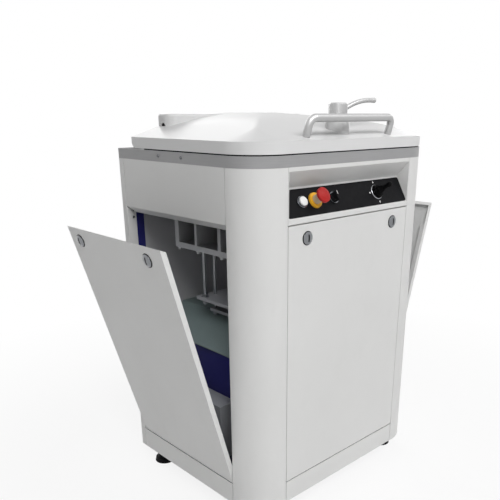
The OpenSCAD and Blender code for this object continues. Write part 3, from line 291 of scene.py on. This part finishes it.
def smooth(o, sharp):
    """Smooth shading, with edges over the sharp angle, in degrees, kept."""
    for f in o.data.polygons:
        f.use_smooth = True
    o.data.set_sharp_from_angle(angle=math.radians(sharp))


def ribbon(name, path, put, low, high, body, slot, soft=0.2):
    """Raised strip with chamfered edges. A path row is (u, v, side u, side v, half width), in mm."""
    verts = []
    for u, v, du, dv, half in path:
        top = max(half - soft, 0.02)
        section = ((-half, low), (-half, high - soft), (-top, high),
                   (top, high), (half, high - soft), (half, low))
        for w, h in section:
            verts.append(put(u + du * w, v + dv * w, h))
    m = len(section)
    faces = [tuple(range(m)), tuple(range(len(verts) - m, len(verts)))]
    for i in range(0, len(verts) - m, m):
        for k in range(m):
            n = (k + 1) % m
            faces.append((i + k, i + n, i + m + n, i + m + k))
    piece(name, verts, faces, body, slot)


def ring(name, profile, put, body, slot, steps=48):
    """Turned ring. The profile is a closed loop of (radius, height), in mm."""
    m = len(profile)
    verts = []
    for i in range(steps):
        a = 2 * math.pi * i / steps
        verts += [put(r * math.cos(a), r * math.sin(a), h) for r, h in profile]
    faces = []
    for i in range(steps):
        j = (i + 1) % steps
        for k in range(m):
            n = (k + 1) % m
            faces.append((i * m + k, j * m + k, j * m + n, i * m + n))
    smooth(piece(name, verts, faces, body, slot), sharp=40)


def domed(put, top, radius):
    """Follows a dome: heights count from a sphere of this radius whose top is at this height, in mm."""
    def on_dome(u, v, h):
        return put(u, v, h + top - radius + math.sqrt(radius ** 2 - u * u - v * v))
    return on_dome


# The lid's solid is made of flat facets, so a welded copy with smooth shading stands for it
def smooth_copy(node, body, slot, weld=1e-5, flat=0.1, sharp=24):
    """Copy that welds points within weld metres and joins faces within flat degrees of one plane."""
    bm = bmesh.new()
    bm.from_mesh(nodes[node].data)
    bmesh.ops.remove_doubles(bm, verts=bm.verts, dist=weld)
    bmesh.ops.dissolve_limit(bm, angle_limit=math.radians(flat), verts=bm.verts, edges=bm.edges)
    bm.verts.index_update()
    verts = [tuple(v.co) for v in bm.verts]
    faces = [tuple(v.index for v in f.verts) for f in bm.faces]
    bm.free()
    o = piece(node + "_smooth", verts, faces, body, slot)
    smooth(o, sharp)
    weighted = o.modifiers.new("weighted", "WEIGHTED_NORMAL")
    weighted.mode = "FACE_AREA"
    weighted.weight = 90
    weighted.keep_sharp = True
    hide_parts(node)


smooth_copy("lid_shell", "lid", "lid_paint")


# The control panel, in mm: its lower edge, the sine and cosine of its 30 degree tilt, and the
# controls' places across it and up it
PANEL_Y, PANEL_Z = -241.5, 786
SIN, COS = 0.5, math.sqrt(0.75)
STICK_X, STOP_X, SELECTOR_X = 111.5, -122.5, -59
CONTROL_UP = 37.5


def on_panel(x):
    """Places (u across, v up the slope, h out of it) round a control at x on the sloped panel."""
    def put(u, v, h):
        s = CONTROL_UP + v
        y = PANEL_Y + s * SIN - h * COS
        z = PANEL_Z + s * COS + h * SIN
        return ((x + u) / MM_PER_M, y / MM_PER_M, z / MM_PER_M)
    return put


# Four white direction arrows and a bright ring round the joystick. An arrow's row is its distance
# from the middle and its half width
ARROW = ((24.6, 2.6), (25.2, 2.5), (28.2, 1.2), (30.2, 0.25))
STICK_RING = ((18.05, 2.0), (19.6, 2.0), (19.6, 2.9), (19.2, 3.5), (18.5, 3.8), (18.05, 3.8))
stick = on_panel(STICK_X)
for i, (a, b) in enumerate(((1, 0), (0, 1), (-1, 0), (0, -1))):
    rows = [(a * d, b * d, -b, a, half) for d, half in ARROW]
    ribbon("joystick_arrow_%d" % i, rows, stick, 1.9, 2.35, "chassis", "white_plastic", soft=0.12)
ring("joystick_ring", STICK_RING, stick, "chassis", "chrome")

# Two turning arrows raised on the stop button's dome: a shaft of even width, then a tapering head
STOP_TOP, STOP_DOME_R = 39, 42.5
TURN_R, TURN_START, TURN_STEP = 10.5, 0.12, 0.05
TURN_ROWS, TURN_HEAD = 15, 11
SHAFT_HALF, HEAD_HALF, HEAD_TAPER = 1.0, 2.3, 0.74
stop = domed(on_panel(STOP_X), STOP_TOP, STOP_DOME_R)
for i in (0, 1):
    rows = []
    for k in range(TURN_ROWS):
        a = math.pi * (i + TURN_START + TURN_STEP * k)
        half = SHAFT_HALF if k < TURN_HEAD else HEAD_HALF - HEAD_TAPER * (k - TURN_HEAD)
        rows.append((TURN_R * math.cos(a), TURN_R * math.sin(a), math.cos(a), math.sin(a), half))
    ribbon("stop_arrow_%d" % i, rows, stop, -0.3, 0.45, "estop_head", "red_plastic")

# White index line on the selector's handle. A row is its place up the handle and its half width
LINE = ((2, 0.5), (2.4, 0.7), (10.6, 0.7), (11, 0.5))
ribbon("selector_line", [(0, v, 1, 0, half) for v, half in LINE], on_panel(SELECTOR_X), 20.8, 21.3,
       "selector", "white_plastic", soft=0.15)


# Each latch has a dark strip over its slot and a dark ring under its head, in mm: painted shade in the slot and in
# the gap under the head
HEAD_TOP, HEAD_DOME_R = 13.8, 33.9
SLOT_SHADE = ((-8.6, 1.2), (-8, 2), (-4, 2.2), (0, 2.3), (4, 2.2), (8, 2), (8.6, 1.2))
RIM_SHADE = ((15.03, 8.15), (16.6, 8.15), (16.6, 8.6), (16.2, 9.1), (15.03, 9.1))

# Directions across, up and out of each face that has latches. The side doors lean out at rest
LEAN = math.radians(15.5)
SIDES = {
    "left": ((0, -1, 0), (-math.sin(LEAN), 0, math.cos(LEAN)), (-math.cos(LEAN), 0, -math.sin(LEAN))),
    "right": ((0, 1, 0), (math.sin(LEAN), 0, math.cos(LEAN)), (math.cos(LEAN), 0, -math.sin(LEAN))),
    "front": ((1, 0, 0), (0, 0, 1), (0, -1, 0)),
}


def on_door(origin, across, up, out):
    """Places (u across, v up, h out), in mm, round a latch at this origin."""
    def put(u, v, h):
        return tuple(Vector(origin) + (Vector(across) * u + Vector(up) * v + Vector(out) * h) / MM_PER_M)
    return put


for latch in LATCHES:
    put = on_door(joints[latch + "_latch_turn"]["pos_m"], *SIDES[latch.split("_")[0]])
    body = latch + "_latch"
    # Painted shade: a black strip in the slot and a black ring under the head
    ribbon(latch + "_slot_shade", [(0, v, 1, 0, half) for v, half in SLOT_SHADE], domed(put, HEAD_TOP, HEAD_DOME_R),
           -2.1, 0.25, body, "black_plastic", soft=0.15)
    ring(latch + "_rim_shade", RIM_SHADE, put, body, "black_plastic")


# Stage: a pale floor, a white surround and soft studio light

FLOOR_SIZE, FLOOR_Z = 60, -0.0005
SURROUND = 0.02


def background_ray(tree):
    """1 for a ray that sees the background itself: a camera, glossy or transmission ray."""
    path = tree.nodes.new("ShaderNodeLightPath")
    first = tree.nodes.new("ShaderNodeMath")
    second = tree.nodes.new("ShaderNodeMath")
    first.operation = second.operation = "MAXIMUM"
    tree.links.new(path.outputs["Is Camera Ray"], first.inputs[0])
    tree.links.new(path.outputs["Is Glossy Ray"], first.inputs[1])
    tree.links.new(first.outputs["Value"], second.inputs[0])
    tree.links.new(path.outputs["Is Transmission Ray"], second.inputs[1])
    return second.outputs["Value"]


def floor_look():
    """Pale floor that a background ray sees as white, with the object's soft shadow kept near it."""
    k = Look("floor")
    pale = k.ramp(k.noise(scale=2.0, detail=3), (0.86, 0.86, 0.86, 1), (0.9, 0.9, 0.9, 1))
    k.link(pale, k.shader.inputs["Base Color"])
    k.set(Roughness=0.8, Specular_IOR_Level=0.2)
    reach = k.node("ShaderNodeVectorMath")
    reach.operation = "LENGTH"
    k.link(k.coord.outputs["Object"], reach.inputs[0])
    keep = k.node("ShaderNodeMath")
    keep.operation = "MULTIPLY"
    k.link(background_ray(k.tree), keep.inputs[0])
    k.link(k.span(reach.outputs["Value"], low=0.86, high=1.0, start=0.7, end=1.7), keep.inputs[1])
    glow = k.node("ShaderNodeEmission", Color=WHITE, Strength=1.0)
    mix = k.node("ShaderNodeMixShader")
    k.link(keep.outputs["Value"], mix.inputs["Fac"])
    k.link(k.shader.outputs["BSDF"], mix.inputs[1])
    k.link(glow.outputs["Emission"], mix.inputs[2])
    k.link(mix.outputs["Shader"], k.tree.nodes["Material Output"].inputs["Surface"])
    return k.mat


def plane(name, size, z, mat):
    mesh = bpy.data.meshes.new(name)
    s = size / 2
    mesh.from_pydata([(-s, -s, z), (s, -s, z), (s, s, z), (-s, s, z)], [], [(0, 1, 2, 3)])
    mesh.materials.append(mat)
    o = bpy.data.objects.new(name, mesh)
    scene.collection.objects.link(o)
    return o


plane("floor", FLOOR_SIZE, FLOOR_Z, floor_look())

world = bpy.data.worlds.new("studio")
scene.world = world
world.use_nodes = True
wt = world.node_tree
dim = wt.nodes["Background"]
dim.inputs["Color"].default_value = WHITE
dim.inputs["Strength"].default_value = SURROUND
white = wt.nodes.new("ShaderNodeBackground")
white.inputs["Color"].default_value = WHITE
white.inputs["Strength"].default_value = 1.0
mix = wt.nodes.new("ShaderNodeMixShader")
wt.links.new(background_ray(wt), mix.inputs["Fac"])
wt.links.new(dim.outputs["Background"], mix.inputs[1])
wt.links.new(white.outputs["Background"], mix.inputs[2])
wt.links.new(mix.outputs["Shader"], wt.nodes["World Output"].inputs["Surface"])


def area(name, place, target, size, watts):
    light = bpy.data.lights.new(name, "AREA")
    light.shape = "DISK"
    light.size = size
    light.energy = watts
    o = bpy.data.objects.new(name, light)
    o.location = place
    o.rotation_euler = (Vector(target) - Vector(place)).to_track_quat("-Z", "Y").to_euler()
    scene.collection.objects.link(o)


# Name, place, target, width and watts of each lamp
LAMPS = [
    ("key", (-3.0, -4.6, 6.0), (0.0, 0.0, 0.7), 4.0, 325),
    ("fill", (3.0, -4.6, 6.0), (0.0, 0.0, 0.7), 4.0, 185),
    ("low", (-3.6, -3.6, 1.9), (0.0, 0.0, 0.7), 2.4, 20),
    ("rim", (1.4, 2.6, 2.4), (-0.25, -0.05, 0.95), 1.5, 10),
    ("back", (0.9, 6.2, 2.6), (0.0, 0.0, 0.6), 3.0, 75),
    ("right", (6.2, 1.9, 2.2), (0.0, 0.0, 0.6), 3.0, 60),
]
for lamp in LAMPS:
    area(*lamp)


# Camera at the photograph's angle: its place, and its tilt down and its turn in degrees

CAMERA_AT = (-1.17105, -1.17282, 1.00811)
CAMERA_TILT, CAMERA_TURN = 19.85, -44.04
cam = bpy.data.cameras.new("photo")
cam.lens = 43.32
cam.sensor_width = 36
cam.shift_x = -0.0479
cam.shift_y = 0.1620
cam.clip_start = 0.05
cam_ob = bpy.data.objects.new("photo", cam)
cam_ob.location = CAMERA_AT
cam_ob.rotation_euler = (math.radians(90 - CAMERA_TILT), 0, math.radians(CAMERA_TURN))
scene.collection.objects.link(cam_ob)
scene.camera = cam_ob
scene.view_settings.view_transform = "Standard"
